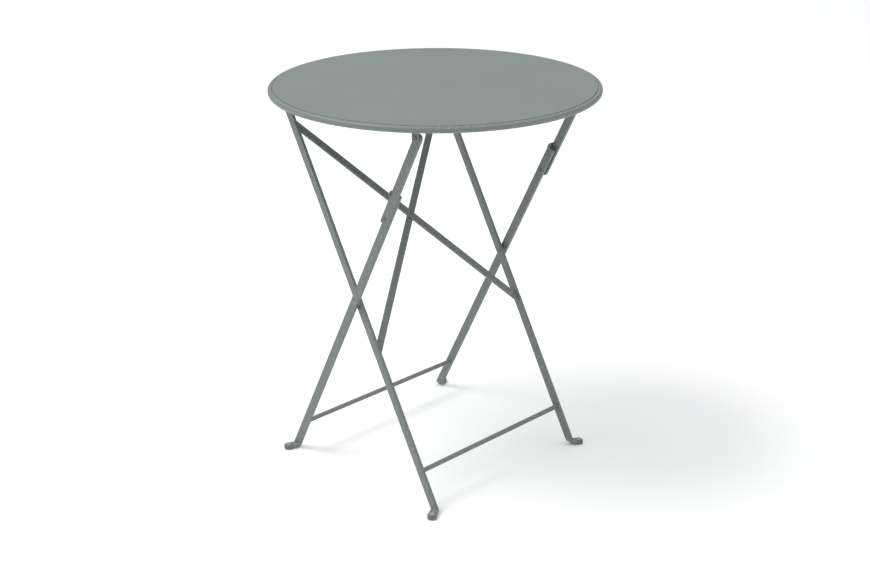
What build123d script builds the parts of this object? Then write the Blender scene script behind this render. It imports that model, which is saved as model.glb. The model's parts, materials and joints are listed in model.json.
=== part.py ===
from build123d import *
import math
import os

# Folding bistro table: a round sheet-steel top on two crossed frames of flat bar.
# Millimetres, +Z up, origin on the floor under the middle of the top.
# Y runs along the cross rods and pivots, and X along the spread of the crossed legs.
# The inner frame stands on its +X feet and is hinged to the top near its -X edge.
# The outer frame stands on its -X feet and carries the two upper arms to the +X lugs.
# Every left-hand piece is the right-hand one (+Y) mirrored in the XZ plane.

# ---- overall sizes ----
table_height = 729.2
top_diameter = 600.0

# ---- tabletop sheet with its rolled rim ----
sheet_t = 1.5
rim_height = 11.7
rim_width = 9.4
rim_outer_r = 5.2
rim_lower_r = 4.0
rim_drop = 0.6          # the rim's crown lies this far below the flat of the top
groove_in = 8.0         # bottom of the pressed groove, in from the edge
groove_depth = 2.6
groove_slope = 0.9      # run of the groove's side towards the flat
groove_rise = 0.9       # run of the groove's side towards the rim
groove_r = 0.5
crown_r = 1.2           # where the groove turns over into the rim's crown
curl_gap = 0.9          # between the end of the curl and the sheet above it

# ---- crossed frames ----
pivot_x = -8.5
pivot_height = 357.5
leg_hinge_in = 100.8    # inner legs' top hinge, in from the top's edge
arm_hinge_in = 132.5    # upper arms' top hinge, in from the top's edge
inner_face_in = 115.5   # inner faces of the inner legs, in from the top's edge
bar_t = 6.0
inner_bar_w = 14.2
outer_bar_w = 15.2
pivot_gap = 4.0         # between the inner and outer legs, filled by a washer

# ---- hinges under the top ----
hinge_drop = 27.7       # hinge line below the tabletop
lug_t = 3.0
lug_w = 15.0
lug_flange = 14.0
lug_nose = 7.0          # lug below its hinge line
lug_corner_r = 4.0
lug_gap = 0.5

# ---- knuckles of the outer frame ----
lap_above = 52.5        # leg above the knuckle pivot
arm_below = 9.0         # arm below the knuckle pivot
arm_gap = 3.2           # between the leg and the arm beside it
arm_shift = 1.6         # the arm sits this far towards its open side
knuckle_play = 0.4      # between the washer on the leg and the arm
stop_play = 0.3         # between the stop's lip and the arm's edge
stop_t = 2.0
stop_below = 4.0        # the stop's lip starts this far below the leg's square end
stop_above = 6.5        # and ends this far above it
stop_root = 5.0         # width of the tongue that carries the lip
stop_past = 3.0         # the lip reaches this far past the arm's outer face
arm_corner_r = 3.0

# ---- cross rods and braces ----
rod_d = 8.8
rod_below = 327.0       # rods below the pivot, along the legs
brace_w = 13.0
brace_t = 4.0
brace_top_gap = 55.3    # brace ends below the top hinge, along the inner legs
brace_low = 99.0        # brace ends below the pivot, along the inner legs

# ---- feet ----
bend_r = 3.0            # inside radius of the bend
tab_run = 10.0          # from the end of the bend to the middle of the tab's round end
glide_floor = 2.5
glide_wall = 1.4
glide_lip = 0.8         # the glide's wall stops this far below the top of the tab
glide_play = 0.1
glide_edge_r = 0.8
stud_d = 5.0
stud_head_d = 10.4
stud_head_t = 1.8
stud_depth = 1.5        # shank below the tab, in the glide

# ---- rivets and washers ----
pivot_d = 7.0
hinge_d = 6.0
knuckle_d = 6.0
rivet_head_d = 9.0
rivet_head_t = 1.4
rivet_dimple_d = 3.6
rivet_dimple_depth = 0.8
countersink_d = 10.6
countersink_depth = 1.6
flush = 0.2             # countersunk end below the face
washer_d = 15.0
knuckle_washer_d = 12.0
running = 0.05          # radial clearance of a turning pin
fixed = 0.02            # radial clearance of a pin that is riveted fast
head_play = 0.3         # between a rivet head and the piece that turns beside it

# ---- places worked out from the sizes above ----
sheet_bottom = table_height - sheet_t
hinge_z = table_height - hinge_drop
hinge_rise = hinge_z - pivot_height
leg_hinge_x = leg_hinge_in - top_diameter / 2
arm_hinge_x = top_diameter / 2 - arm_hinge_in
inner_face_y = top_diameter / 2 - inner_face_in
inner_out_y = inner_face_y + bar_t
outer_in_y = inner_out_y + pivot_gap
outer_out_y = outer_in_y + bar_t
arm_in_y = outer_out_y + arm_gap
arm_out_y = arm_in_y + bar_t
arm_lug_y = arm_out_y + lug_gap
leg_lug_y = inner_face_y - lug_gap - lug_t

# Leans from the vertical in degrees: inner feet towards +X, outer feet towards -X.
inner_lean = math.degrees(math.atan2(pivot_x - leg_hinge_x, hinge_rise))
outer_lean = math.degrees(math.atan2(arm_hinge_x - pivot_x, hinge_rise))


def leg_x(z, lean):
    """X of a leg's middle line at height z."""
    return pivot_x + (pivot_height - z) * math.tan(math.radians(lean))


# The frames fold flat when hinge span + lower link = inner leg above the pivot + arm.
hinge_span = arm_hinge_x - leg_hinge_x
inner_upper = hinge_rise / math.cos(math.radians(inner_lean))
outer_upper = hinge_rise / math.cos(math.radians(outer_lean))
knuckle_up = (outer_upper + inner_upper - hinge_span) / 2
brace_top = inner_upper - brace_top_gap


def outer_point(along, side=0.0):
    """(x, z) on the outer frame: distance up the leg from the pivot, and towards -X."""
    a = math.radians(outer_lean)
    x = pivot_x + along * math.sin(a) - side * math.cos(a)
    z = pivot_height + along * math.cos(a) + side * math.sin(a)
    return x, z


knuckle_x, knuckle_z = outer_point(knuckle_up)


def polygon(points):
    return make_face(Polyline(*points, close=True))


def round_corners(face, corners):
    """Fillet the corners of a face that lie at the given (x, y, radius) places."""
    for x, y, radius in corners:
        vertex = min(face.vertices(), key=lambda v: math.hypot(v.X - x, v.Y - y))
        face = fillet(vertex, radius)
    return face


def plate(outline, y_low, y_high):
    """Extrude an outline drawn in (x, z) between two Y planes."""
    plane = Plane(origin=(0, y_high, 0), x_dir=(1, 0, 0), z_dir=(0, -1, 0))
    return extrude(plane * outline, amount=y_high - y_low)


def round_bar(x, z, diameter, y_low, y_high):
    """Cylinder along Y."""
    plane = Plane(origin=(x, y_low, z), z_dir=(0, 1, 0))
    return Solid.make_cylinder(diameter / 2, y_high - y_low, plane)


def dome_head(x, z, y_face, outwards, diameter=rivet_head_d):
    """Low rivet head on the face at y_face, towards +Y when outwards is 1, with a dimple."""
    plane = Plane(origin=(x, y_face, z), z_dir=(0, outwards, 0))
    head = Solid.make_cylinder(diameter / 2, rivet_head_t, plane)
    crown = head.edges().filter_by(GeomType.CIRCLE).sort_by(Axis.Y)[-1 if outwards > 0 else 0]
    head = fillet(crown, rivet_head_t * 0.6)
    top = Plane(origin=(x, y_face + outwards * rivet_head_t, z), z_dir=(0, -outwards, 0))
    return head - Solid.make_cylinder(rivet_dimple_d / 2, rivet_dimple_depth, top)


def ring(x, z, outer, inner, y_low, y_high):
    return round_bar(x, z, outer, y_low, y_high) - round_bar(x, z, inner, y_low, y_high)


def across(point, direction, half):
    """The two points half a width to each side of a point, across a direction."""
    (px, pz), (dx, dz) = point, direction
    return (px - dz * half, pz + dx * half), (px + dz * half, pz - dx * half)


# ---- tabletop ----
def make_top():
    edge = top_diameter / 2
    inside = edge - rim_width
    groove = edge - groove_in
    groove_z = table_height - groove_depth
    crown = table_height - rim_drop
    foot = table_height - rim_height
    curl_end = groove_z - sheet_t - curl_gap
    groove_wall = sheet_t * 0.7
    outline = polygon([
        (0, table_height),
        (groove - groove_slope, table_height),
        (groove, groove_z),
        (groove + groove_rise, crown),
        (edge, crown),
        (edge, foot),
        (inside, foot),
        (inside, curl_end),
        (inside + sheet_t, curl_end),
        (inside + sheet_t, foot + sheet_t),
        (edge - sheet_t, foot + sheet_t),
        (edge - sheet_t, crown - sheet_t),
        (groove + groove_rise + groove_wall, crown - sheet_t),
        (groove, groove_z - sheet_t),
        (groove - groove_slope - groove_wall, sheet_bottom),
        (0, sheet_bottom),
    ])
    outline = round_corners(outline, [
        (edge, crown, rim_outer_r),
        (edge, foot, rim_lower_r),
        (inside, foot, rim_lower_r),
        (inside + sheet_t, foot + sheet_t, rim_lower_r - sheet_t),
        (edge - sheet_t, foot + sheet_t, rim_lower_r - sheet_t),
        (edge - sheet_t, crown - sheet_t, rim_outer_r - sheet_t),
        (groove + groove_rise, crown, crown_r),
        (groove, groove_z, groove_r),
        (groove - groove_slope, table_height, groove_r),
    ])
    return revolve(Plane.XZ * outline, axis=Axis.Z)


def make_lug(x, y_low, inwards):
    """Angle lug: an upright plate with the hinge hole and a flange under the sheet."""
    y_high = y_low + lug_t
    low = hinge_z - lug_nose
    upright = polygon([
        (x - lug_w / 2, low),
        (x + lug_w / 2, low),
        (x + lug_w / 2, sheet_bottom),
        (x - lug_w / 2, sheet_bottom),
    ])
    upright = round_corners(upright, [
        (x - lug_w / 2, low, lug_corner_r),
        (x + lug_w / 2, low, lug_corner_r),
    ])
    flange_y = y_high - lug_flange if inwards else y_low
    flange = Pos(x, flange_y + lug_flange / 2, sheet_bottom - lug_t / 2) * Box(lug_w, lug_flange, lug_t)
    hole = round_bar(x, hinge_z, hinge_d + 2 * fixed, y_low, y_high)
    return plate(upright, y_low, y_high) + flange - hole


# ---- legs, arms and their feet ----
def tab_middle(y_in, lean):
    """(x, y) of the middle of a foot tab's round end."""
    slope = math.tan(math.radians(lean))
    bend_z = glide_floor + bar_t + bend_r
    arc = (bend_r + bar_t / 2) * math.pi / 2
    x = leg_x(bend_z, lean) + (arc + tab_run) * slope
    return x, y_in + bar_t + bend_r + tab_run


def tab_outline(y_in, lean, width, grow=0.0):
    """Plan of the tab: a strip that keeps the leg's lean, with a round end."""
    a = math.radians(lean)
    x, y = tab_middle(y_in, lean)
    start_y = y - tab_run
    start_x = x - tab_run * math.tan(a)
    half = (width / 2 + grow) / math.cos(a)
    end_left, end_right = across((x, y), (math.sin(a), math.cos(a)), width / 2 + grow)
    strip = polygon([(start_x - half, start_y), (start_x + half, start_y), end_right, end_left])
    return strip + Pos(x, y) * Circle(width / 2 + grow)


def make_bend(y_in, lean, width):
    """The bend from the upright bar to the flat tab, about a line along X."""
    a = math.radians(lean)
    axis_y = y_in + bar_t + bend_r
    axis_z = glide_floor + bar_t + bend_r
    half = width / 2 / math.cos(a)
    steps = 6
    sections = []
    for i in range(steps + 1):
        turn = i * math.pi / 2 / steps
        x = leg_x(axis_z, lean) + (bend_r + bar_t / 2) * turn * math.tan(a)
        corners = []
        for dx, r in ((-half, bend_r), (half, bend_r), (half, bend_r + bar_t), (-half, bend_r + bar_t)):
            corners.append((x + dx, axis_y - r * math.cos(turn), axis_z - r * math.sin(turn)))
        sections.append(make_face(Polyline(*corners, close=True)))
    return loft(sections)


def make_leg(y_in, lean, width, top_end):
    """Leaning flat bar from top_end (x, z) down to its bent foot tab."""
    a = math.radians(lean)
    bend_z = glide_floor + bar_t + bend_r
    half = width / 2 / math.cos(a)
    foot_x = leg_x(bend_z, lean)
    left, right = across(top_end, (-math.sin(a), math.cos(a)), width / 2)
    upright = polygon([(foot_x - half, bend_z), (foot_x + half, bend_z), right, left])
    tab = extrude(Pos(0, 0, glide_floor) * tab_outline(y_in, lean, width), amount=bar_t)
    x, y = tab_middle(y_in, lean)
    stud_hole = Pos(x, y, glide_floor + bar_t / 2) * Cylinder(stud_d / 2 + fixed, bar_t)
    return plate(upright, y_in, y_in + bar_t) + make_bend(y_in, lean, width) + (tab - stud_hole)


def make_inner_leg():
    hinge = (leg_hinge_x, hinge_z)
    leg = make_leg(inner_face_y, inner_lean, inner_bar_w, hinge)
    leg += round_bar(*hinge, inner_bar_w, inner_face_y, inner_out_y)
    leg -= round_bar(*hinge, hinge_d + 2 * fixed, inner_face_y, inner_out_y)
    return leg - round_bar(pivot_x, pivot_height, pivot_d + 2 * fixed, inner_face_y, inner_out_y)


def countersunk_hole(extra):
    """Pivot hole through the outer leg with its conical mouth, grown by a clearance."""
    mouth_y = outer_out_y - countersink_depth
    cone_plane = Plane(origin=(pivot_x, mouth_y, pivot_height), z_dir=(0, 1, 0))
    cone = Solid.make_cone(pivot_d / 2 + extra, countersink_d / 2 + extra, countersink_depth, cone_plane)
    return round_bar(pivot_x, pivot_height, pivot_d + 2 * extra, outer_in_y, outer_out_y) + cone


def make_outer_leg():
    """Leg with a square top end; a tongue on its -X side carries the arm's stop."""
    end = knuckle_up + lap_above
    leg = make_leg(outer_in_y, -outer_lean, outer_bar_w, outer_point(end))
    edge = outer_bar_w / 2 - arm_shift + stop_play + stop_t
    tongue = polygon([
        outer_point(end - stop_below, edge),
        outer_point(end + stop_above, edge),
        outer_point(end + stop_above, edge - stop_t),
        outer_point(end, edge - stop_root),
        outer_point(end - stop_below, edge - stop_root),
    ])
    lip = polygon([
        outer_point(end - stop_below, edge),
        outer_point(end + stop_above, edge),
        outer_point(end + stop_above, edge - stop_t),
        outer_point(end - stop_below, edge - stop_t),
    ])
    lip = plate(lip, outer_in_y, arm_out_y + stop_past)
    outer_edges = lip.edges().filter_by(lambda e: abs(e.center().Y - arm_out_y - stop_past) < 0.01)
    corner = outer_edges.sort_by(Axis.Z)[-1]
    lip = fillet(corner, stop_past)
    leg += plate(tongue, outer_in_y, outer_out_y)
    leg += lip
    leg -= round_bar(knuckle_x, knuckle_z, knuckle_d + 2 * fixed, outer_in_y, outer_out_y)
    return leg - countersunk_hole(running)


def make_arm():
    """Upper arm: square lower end with eased corners, round upper end at the hinge."""
    low = outer_point(knuckle_up - arm_below, -arm_shift)
    high = outer_point(outer_upper, -arm_shift)
    a = math.radians(outer_lean)
    low_left, low_right = across(low, (math.sin(a), math.cos(a)), outer_bar_w / 2)
    high_left, high_right = across(high, (math.sin(a), math.cos(a)), outer_bar_w / 2)
    outline = polygon([low_left, low_right, high_right, high_left])
    outline = round_corners(outline, [(*low_left, arm_corner_r), (*low_right, arm_corner_r)])
    arm = plate(outline + Pos(*high) * Circle(outer_bar_w / 2), arm_in_y, arm_out_y)
    arm -= round_bar(arm_hinge_x, hinge_z, hinge_d + 2 * running, arm_in_y, arm_out_y)
    return arm - round_bar(knuckle_x, knuckle_z, knuckle_d + 2 * running, arm_in_y, arm_out_y)


def make_glide(y_in, lean, width):
    """Moulded glide: a floor under the tab and a wall round its end."""
    x, y = tab_middle(y_in, lean)
    tab_top = glide_floor + bar_t
    height = tab_top - glide_lip
    cap = Pos(x, y, height / 2) * Cylinder(width / 2 + glide_wall, height)
    cap = fillet(cap.edges().filter_by(GeomType.CIRCLE), glide_edge_r)
    tab = extrude(Pos(0, 0, glide_floor) * tab_outline(y_in, lean, width, glide_play), amount=2 * bar_t)
    stud_hole = Pos(x, y, glide_floor - stud_depth / 2) * Cylinder(stud_d / 2 + fixed, stud_depth)
    return cap - tab - stud_hole


def make_stud(y_in, lean):
    """Round-headed stud that holds a glide on its tab."""
    x, y = tab_middle(y_in, lean)
    tab_top = glide_floor + bar_t
    low = glide_floor - stud_depth
    shank = Pos(x, y, (low + tab_top) / 2) * Cylinder(stud_d / 2, tab_top - low)
    head = Pos(x, y, tab_top + stud_head_t / 2) * Cylinder(stud_head_d / 2, stud_head_t)
    crown = head.edges().filter_by(GeomType.CIRCLE).sort_by(Axis.Z)[-1]
    return shank + fillet(crown, stud_head_t * 0.7)


# ---- rods and braces ----
def rod_between(lean, y_in):
    a = math.radians(lean)
    x = pivot_x + rod_below * math.sin(a)
    z = pivot_height - rod_below * math.cos(a)
    return round_bar(x, z, rod_d, -y_in, y_in)


def make_brace(falls, n_low):
    """Diagonal flat bar in the plane of the inner frame; it falls towards +Y when falls is 1."""
    a = math.radians(inner_lean)
    normal = (math.cos(a), 0, math.sin(a))
    plane = Plane(origin=(pivot_x, 0, pivot_height), x_dir=(0, 1, 0), z_dir=normal)
    run = 2 * inner_face_y
    drop = brace_top + brace_low
    half = brace_w / 2 * math.hypot(run, drop) / run
    outline = polygon([
        (-falls * inner_face_y, brace_top - half),
        (-falls * inner_face_y, brace_top + half),
        (falls * inner_face_y, -brace_low + half),
        (falls * inner_face_y, -brace_low - half),
    ])
    return extrude(plane.offset(n_low) * outline, amount=brace_t)


# ---- rivets and washers ----
def make_pivot_rivet():
    """Fixed in the inner leg, countersunk into the outer leg that turns on it."""
    cone_y = outer_out_y - countersink_depth
    cone_plane = Plane(origin=(pivot_x, cone_y, pivot_height), z_dir=(0, 1, 0))
    wide = pivot_d / 2 + (countersink_d - pivot_d) / 2 * (1 - flush / countersink_depth)
    rivet = round_bar(pivot_x, pivot_height, pivot_d, inner_face_y, cone_y)
    rivet += Solid.make_cone(pivot_d / 2, wide, countersink_depth - flush, cone_plane)
    return rivet + dome_head(pivot_x, pivot_height, inner_face_y, -1)


def make_pivot_washer():
    return ring(pivot_x, pivot_height, washer_d, pivot_d + 2 * fixed, inner_out_y, outer_in_y - head_play)


def make_leg_hinge_rivet():
    """Leg half of the top hinge's rivet, fast in the inner leg."""
    rivet = round_bar(leg_hinge_x, hinge_z, hinge_d, inner_face_y, inner_out_y)
    return rivet + dome_head(leg_hinge_x, hinge_z, inner_out_y, 1)


def make_lug_hinge_rivet():
    """Lug half of the top hinge's rivet, fast in the lug."""
    rivet = round_bar(leg_hinge_x, hinge_z, hinge_d, leg_lug_y, leg_lug_y + lug_t)
    return rivet + dome_head(leg_hinge_x, hinge_z, leg_lug_y, -1)


def make_arm_hinge_rivet():
    """Fast in the lug, with the upper arm turning on it."""
    head_y = arm_in_y - head_play
    rivet = round_bar(arm_hinge_x, hinge_z, hinge_d, head_y, arm_lug_y + lug_t)
    rivet += dome_head(arm_hinge_x, hinge_z, arm_lug_y + lug_t, 1)
    return rivet + dome_head(arm_hinge_x, hinge_z, head_y, -1)


def make_knuckle_rivet():
    """Fast in the outer leg, with the upper arm turning on it."""
    head_y = arm_out_y + head_play
    rivet = round_bar(knuckle_x, knuckle_z, knuckle_d, outer_in_y, head_y)
    rivet += dome_head(knuckle_x, knuckle_z, head_y, 1)
    return rivet + dome_head(knuckle_x, knuckle_z, outer_in_y, -1)


def make_knuckle_washer():
    bore = knuckle_d + 2 * fixed
    return ring(knuckle_x, knuckle_z, knuckle_washer_d, bore, outer_out_y, arm_in_y - knuckle_play)


right_hand = {
    "inner_leg": make_inner_leg(),
    "outer_leg": make_outer_leg(),
    "upper_arm": make_arm(),
    "leg_hinge_lug": make_lug(leg_hinge_x, leg_lug_y, inwards=True),
    "arm_hinge_lug": make_lug(arm_hinge_x, arm_lug_y, inwards=True),
    "pivot_rivet": make_pivot_rivet(),
    "pivot_washer": make_pivot_washer(),
    "leg_hinge_rivet": make_leg_hinge_rivet(),
    "lug_hinge_rivet": make_lug_hinge_rivet(),
    "arm_hinge_rivet": make_arm_hinge_rivet(),
    "knuckle_rivet": make_knuckle_rivet(),
    "knuckle_washer": make_knuckle_washer(),
    "inner_foot_glide": make_glide(inner_face_y, inner_lean, inner_bar_w),
    "outer_foot_glide": make_glide(outer_in_y, -outer_lean, outer_bar_w),
    "inner_glide_stud": make_stud(inner_face_y, inner_lean),
    "outer_glide_stud": make_stud(outer_in_y, -outer_lean),
}

nodes = {
    "table_top": make_top(),
    "inner_cross_rod": rod_between(inner_lean, inner_face_y),
    "outer_cross_rod": rod_between(-outer_lean, outer_in_y),
    "front_brace": make_brace(1, 0.0),
    "rear_brace": make_brace(-1, -brace_t),
}
for name, shape in right_hand.items():
    nodes[name + "_right"] = shape
    nodes[name + "_left"] = mirror(shape, about=Plane.XZ)

os.makedirs("parts", exist_ok=True)
for name, shape in nodes.items():
    export_step(shape, f"parts/{name}.step")
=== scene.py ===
"""Looks of a folding bistro table: powder-coated steel on a pale studio floor."""

import json
import math

import bmesh
import bpy
from mathutils import Matrix, Vector


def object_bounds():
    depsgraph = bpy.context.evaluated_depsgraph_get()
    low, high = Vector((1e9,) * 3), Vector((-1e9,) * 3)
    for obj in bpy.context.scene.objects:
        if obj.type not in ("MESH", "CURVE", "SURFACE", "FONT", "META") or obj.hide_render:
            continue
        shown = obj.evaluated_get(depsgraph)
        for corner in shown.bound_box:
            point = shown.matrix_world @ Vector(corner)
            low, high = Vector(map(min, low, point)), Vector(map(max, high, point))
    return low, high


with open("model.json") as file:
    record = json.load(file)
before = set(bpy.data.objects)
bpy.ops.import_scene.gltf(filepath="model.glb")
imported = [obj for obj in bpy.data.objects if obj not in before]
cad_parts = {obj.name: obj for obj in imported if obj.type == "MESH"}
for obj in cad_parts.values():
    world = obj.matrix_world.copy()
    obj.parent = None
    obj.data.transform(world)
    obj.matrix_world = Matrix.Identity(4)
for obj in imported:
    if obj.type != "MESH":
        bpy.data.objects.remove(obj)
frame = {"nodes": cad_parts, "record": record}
cad_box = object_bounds()
nodes = frame["nodes"]

# ---- camera and light ----
AZIMUTH = math.radians(45.23)
ELEVATION = math.radians(20.62)
ROLL = math.radians(-0.17)
LENS = 60.13
CAMERA_PLACE = (1.8152, -1.8011, 1.3479)
SHIFT_X = -0.0006
SHIFT_Y = -0.0262
FLOOR_COLOUR = (0.95, 0.95, 0.95, 1)
FLOOR_HALF = 30
SKY_COLOUR = (0.985, 0.99, 1.0, 1)
HORIZON_COLOUR = (0.01, 0.01, 0.01, 1)
BACKDROP_COLOUR = (0.96, 0.965, 0.97, 1)
WORLD_STRENGTH = 1.05
DARK_UP_TO = 0.54       # 0 is straight down, 0.5 the horizon and 1 straight up
BRIGHT_FROM = 0.80
LIGHTS = (              # name, place, target, size, power
    ("key", (-2.2, -2.9, 6.5), (0, 0, 0.3), 3.2, 215),
    ("left", (-1.7, -2.2, 1.5), (0, 0, 0.4), 1.4, 5.0),
    ("right", (2.9, 0.9, 1.3), (0, 0, 0.3), 1.4, 6.0),
)

# ---- finishes, as linear colours; the top, stud and glide greys carry painted light and shade ----
# painted light: the top is the frame's grey made lighter, standing in for the light
# falling on its upward face
LIT_TOP_COLOUR = (0.192, 0.222, 0.207)
FRAME_COLOUR = (0.170, 0.196, 0.186)
# painted shade: the glide is the frame's grey made darker, standing in for shade on the
# pad's sides
SHADED_GLIDE_COLOUR = (0.136, 0.152, 0.145)
# painted highlight: the stud head is the frame's grey made lighter, standing in for light
# falling on its top
LIT_STUD_COLOUR = (0.262, 0.290, 0.277)
BARE_STEEL = (0.32, 0.31, 0.29)


def colour4(rgb, factor=1.0):
    return tuple(c * factor for c in rgb) + (1,)


class Nodes:
    """Small helper for building one material's node tree."""

    def __init__(self, name):
        self.material = bpy.data.materials.new(name)
        self.material.use_nodes = True
        self.tree = self.material.node_tree
        self.shader = self.tree.nodes["Principled BSDF"]
        self.place = self.add("ShaderNodeTexCoord").outputs["Object"]

    def add(self, kind, **settings):
        node = self.tree.nodes.new(kind)
        for key, value in settings.items():
            setattr(node, key, value)
        return node

    def link(self, out, into):
        self.tree.links.new(out, into)

    def noise(self, scale, detail=2.0, roughness=0.5):
        node = self.add("ShaderNodeTexNoise")
        node.inputs["Scale"].default_value = scale
        node.inputs["Detail"].default_value = detail
        node.inputs["Roughness"].default_value = roughness
        self.link(self.place, node.inputs["Vector"])
        return node.outputs["Fac"]

    def remap(self, value, low, high, to_low, to_high):
        node = self.add("ShaderNodeMapRange")
        self.link(value, node.inputs["Value"])
        pairs = {"From Min": low, "From Max": high, "To Min": to_low, "To Max": to_high}
        for socket, number in pairs.items():
            node.inputs[socket].default_value = number
        return node.outputs["Result"]

    def mix(self, factor, first, second):
        """Colour mix; first and second are colours or sockets."""
        node = self.add("ShaderNodeMix", data_type="RGBA")
        self.link(factor, node.inputs["Factor"])
        for key, value in (("A", first), ("B", second)):
            socket = [s for s in node.inputs if s.name == key and s.type == "RGBA"][0]
            if isinstance(value, tuple):
                socket.default_value = value
            else:
                self.link(value, socket)
        return [s for s in node.outputs if s.type == "RGBA"][0]

    def math(self, operation, first, second):
        node = self.add("ShaderNodeMath", operation=operation)
        for socket, value in zip(node.inputs, (first, second)):
            if isinstance(value, (int, float)):
                socket.default_value = value
            else:
                self.link(value, socket)
        return node.outputs[0]

    def edge_mask(self, low, high):
        """1 on sharp convex edges, from the surface's own pointiness."""
        geometry = self.add("ShaderNodeNewGeometry")
        return self.remap(geometry.outputs["Pointiness"], low, high, 0.0, 1.0)

    def bump(self, height, strength, distance, under=None):
        node = self.add("ShaderNodeBump")
        node.inputs["Strength"].default_value = strength
        node.inputs["Distance"].default_value = distance
        self.link(height, node.inputs["Height"])
        if under is not None:
            self.link(under, node.inputs["Normal"])
        return node.outputs["Normal"]


def powder_coat(name, colour, roughness, peel, wear):
    """Powder coat on steel: orange peel, faint mottle and thin wear along the edges."""
    n = Nodes(name)
    mottle = n.remap(n.noise(9.0, 3.0), 0.35, 0.65, 0.0, 1.0)
    base = n.mix(mottle, colour4(colour, 0.98), colour4(colour, 1.02))
    fleck = n.remap(n.noise(420.0, 3.0, 0.75), 0.36, 0.64, 0.0, 1.0)
    base = n.mix(n.math("MULTIPLY", fleck, 0.55), base, colour4(colour, 0.87))
    specks = n.remap(n.noise(1400.0, 1.0), 0.60, 0.72, 0.0, 0.16)
    base = n.mix(specks, base, colour4(colour, 0.72))
    rub = n.remap(n.noise(160.0, 4.0, 0.65), 0.48, 0.66, 0.0, wear)
    worn = n.math("MULTIPLY", rub, n.edge_mask(0.53, 0.60))
    base = n.mix(worn, base, colour4(BARE_STEEL))
    n.link(base, n.shader.inputs["Base Color"])
    sheen = n.remap(n.noise(38.0, 3.0, 0.6), 0.3, 0.7, roughness - 0.02, roughness + 0.03)
    n.link(sheen, n.shader.inputs["Roughness"])
    waves = n.bump(n.noise(330.0, 1.5, 0.45), peel, 0.0006)
    grain = n.bump(n.noise(1900.0, 1.0), peel * 0.55, 0.00015, waves)
    n.link(grain, n.shader.inputs["Normal"])
    n.shader.inputs["Metallic"].default_value = 0.0
    n.shader.inputs["Specular IOR Level"].default_value = 0.42
    return n.material


def moulded_plastic(name, colour, roughness):
    """Matt moulded plastic: fine spark-eroded grain, scuffs and dust in the grain."""
    n = Nodes(name)
    scuffs = n.remap(n.noise(240.0, 4.0, 0.7), 0.5, 0.72, 0.0, 0.5)
    base = n.mix(scuffs, colour4(colour), colour4(colour, 2.1))
    n.link(base, n.shader.inputs["Base Color"])
    rough = n.remap(n.noise(500.0, 2.0), 0.3, 0.7, roughness - 0.06, roughness + 0.08)
    n.link(rough, n.shader.inputs["Roughness"])
    n.link(n.bump(n.noise(2600.0, 2.0), 0.35, 0.0001), n.shader.inputs["Normal"])
    return n.material


materials = {
    "top_coat": powder_coat("top_coat", LIT_TOP_COLOUR, 0.46, 0.16, 0.35),
    "frame_coat": powder_coat("frame_coat", FRAME_COLOUR, 0.44, 0.13, 0.40),
    "rivet_metal": powder_coat("rivet_metal", FRAME_COLOUR, 0.42, 0.15, 0.60),
    "stud_metal": moulded_plastic("stud_metal", LIT_STUD_COLOUR, 0.48),
    "glide_plastic": moulded_plastic("glide_plastic", SHADED_GLIDE_COLOUR, 0.56),
}


def paint(piece, slot_name):
    piece.data.materials.clear()
    piece.data.materials.append(materials[slot_name])


# ---- carried-over CAD nodes ----
EASED_EDGE = 0.0008
FINE_EDGE = 0.00020


def ease_edges(piece, width):
    """Rounds the crisp CAD edges a little, so that they catch the light."""
    bevel = piece.modifiers.new("eased edges", "BEVEL")
    bevel.width = width
    bevel.segments = 3
    bevel.limit_method = "ANGLE"
    bevel.angle_limit = math.radians(35)
    bevel.harden_normals = True
    bevel.use_clamp_overlap = True


slots = {entry["node"]: entry["material_slot"] for entry in frame["record"]["subparts"]}
for name, piece in nodes.items():
    paint(piece, slots[name])
    piece.data.shade_smooth()
    small = slots[name] != "frame_coat" and name != "table_top"
    ease_edges(piece, FINE_EDGE if small else EASED_EDGE)


# ---- floor, light and camera ----
def make_floor():
    lo, hi = cad_box
    mesh = bpy.data.meshes.new("floor")
    shape = bmesh.new()
    bmesh.ops.create_grid(shape, x_segments=1, y_segments=1, size=FLOOR_HALF)
    shape.to_mesh(mesh)
    shape.free()
    floor = bpy.data.objects.new("floor", mesh)
    floor.location.z = lo.z
    bpy.context.scene.collection.objects.link(floor)
    n = Nodes("floor")
    tone = n.remap(n.noise(1.5, 2.0), 0.3, 0.7, 0.0, 1.0)
    paler = tuple(min(1.0, c * 1.015) for c in FLOOR_COLOUR[:3]) + (1,)
    n.link(n.mix(tone, FLOOR_COLOUR, paler), n.shader.inputs["Base Color"])
    n.shader.inputs["Roughness"].default_value = 0.9
    n.shader.inputs["Specular IOR Level"].default_value = 0.1
    mesh.materials.append(n.material)


def make_area_light(name, place, target, size, power):
    data = bpy.data.lights.new(name, "AREA")
    data.shape = "DISK"
    data.size = size
    data.energy = power
    light = bpy.data.objects.new(name, data)
    light.location = place
    aim = Vector(target) - Vector(place)
    light.rotation_euler = aim.to_track_quat("-Z", "Y").to_euler()
    bpy.context.scene.collection.objects.link(light)


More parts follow.
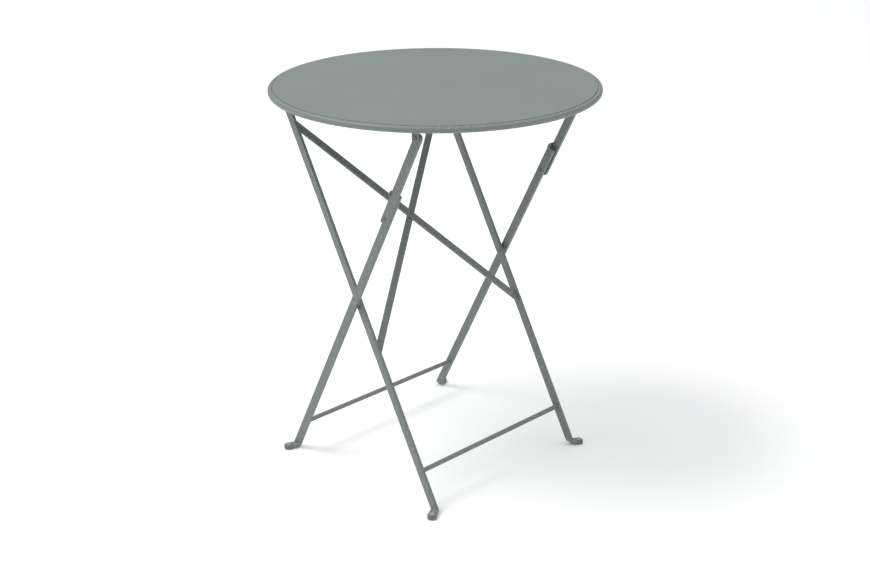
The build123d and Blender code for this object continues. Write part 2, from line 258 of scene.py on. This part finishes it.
def make_world():
    """Soft studio light from above, dark at the horizon, with a pale backdrop behind."""
    world = bpy.data.worlds.new("studio")
    world.use_nodes = True
    tree = world.node_tree
    background = tree.nodes["Background"]
    background.inputs["Strength"].default_value = WORLD_STRENGTH
    direction = tree.nodes.new("ShaderNodeTexCoord")
    split = tree.nodes.new("ShaderNodeSeparateXYZ")
    ramp = tree.nodes.new("ShaderNodeValToRGB")
    height = tree.nodes.new("ShaderNodeMapRange")
    height.inputs["From Min"].default_value = -1.0
    stops = ramp.color_ramp.elements
    stops[0].position, stops[0].color = DARK_UP_TO, HORIZON_COLOUR
    stops[1].position, stops[1].color = BRIGHT_FROM, SKY_COLOUR
    tree.links.new(direction.outputs["Generated"], split.inputs[0])
    tree.links.new(split.outputs["Z"], height.inputs["Value"])
    tree.links.new(height.outputs["Result"], ramp.inputs["Fac"])
    tree.links.new(ramp.outputs["Color"], background.inputs["Color"])
    backdrop = tree.nodes.new("ShaderNodeBackground")
    backdrop.inputs["Color"].default_value = BACKDROP_COLOUR
    path = tree.nodes.new("ShaderNodeLightPath")
    choice = tree.nodes.new("ShaderNodeMixShader")
    tree.links.new(path.outputs["Is Camera Ray"], choice.inputs["Fac"])
    tree.links.new(background.outputs["Background"], choice.inputs[1])
    tree.links.new(backdrop.outputs["Background"], choice.inputs[2])
    tree.links.new(choice.outputs["Shader"], tree.nodes["World Output"].inputs["Surface"])
    bpy.context.scene.world = world
    bpy.context.scene.view_settings.view_transform = "Standard"


def make_camera():
    data = bpy.data.cameras.new("camera")
    data.lens = LENS
    data.sensor_width = 36
    data.shift_x = SHIFT_X
    data.shift_y = SHIFT_Y
    data.clip_start = 0.05
    data.clip_end = 100
    camera = bpy.data.objects.new("camera", data)
    back = Vector((
        math.sin(AZIMUTH) * math.cos(ELEVATION),
        -math.cos(AZIMUTH) * math.cos(ELEVATION),
        math.sin(ELEVATION),
    ))
    turn = back.to_track_quat("Z", "Y").to_matrix() @ Matrix.Rotation(ROLL, 3, "Z")
    camera.matrix_world = Matrix.Translation(CAMERA_PLACE) @ turn.to_4x4()
    bpy.context.scene.collection.objects.link(camera)
    bpy.context.scene.camera = camera


make_floor()
make_world()
for light in LIGHTS:
    make_area_light(*light)
make_camera()
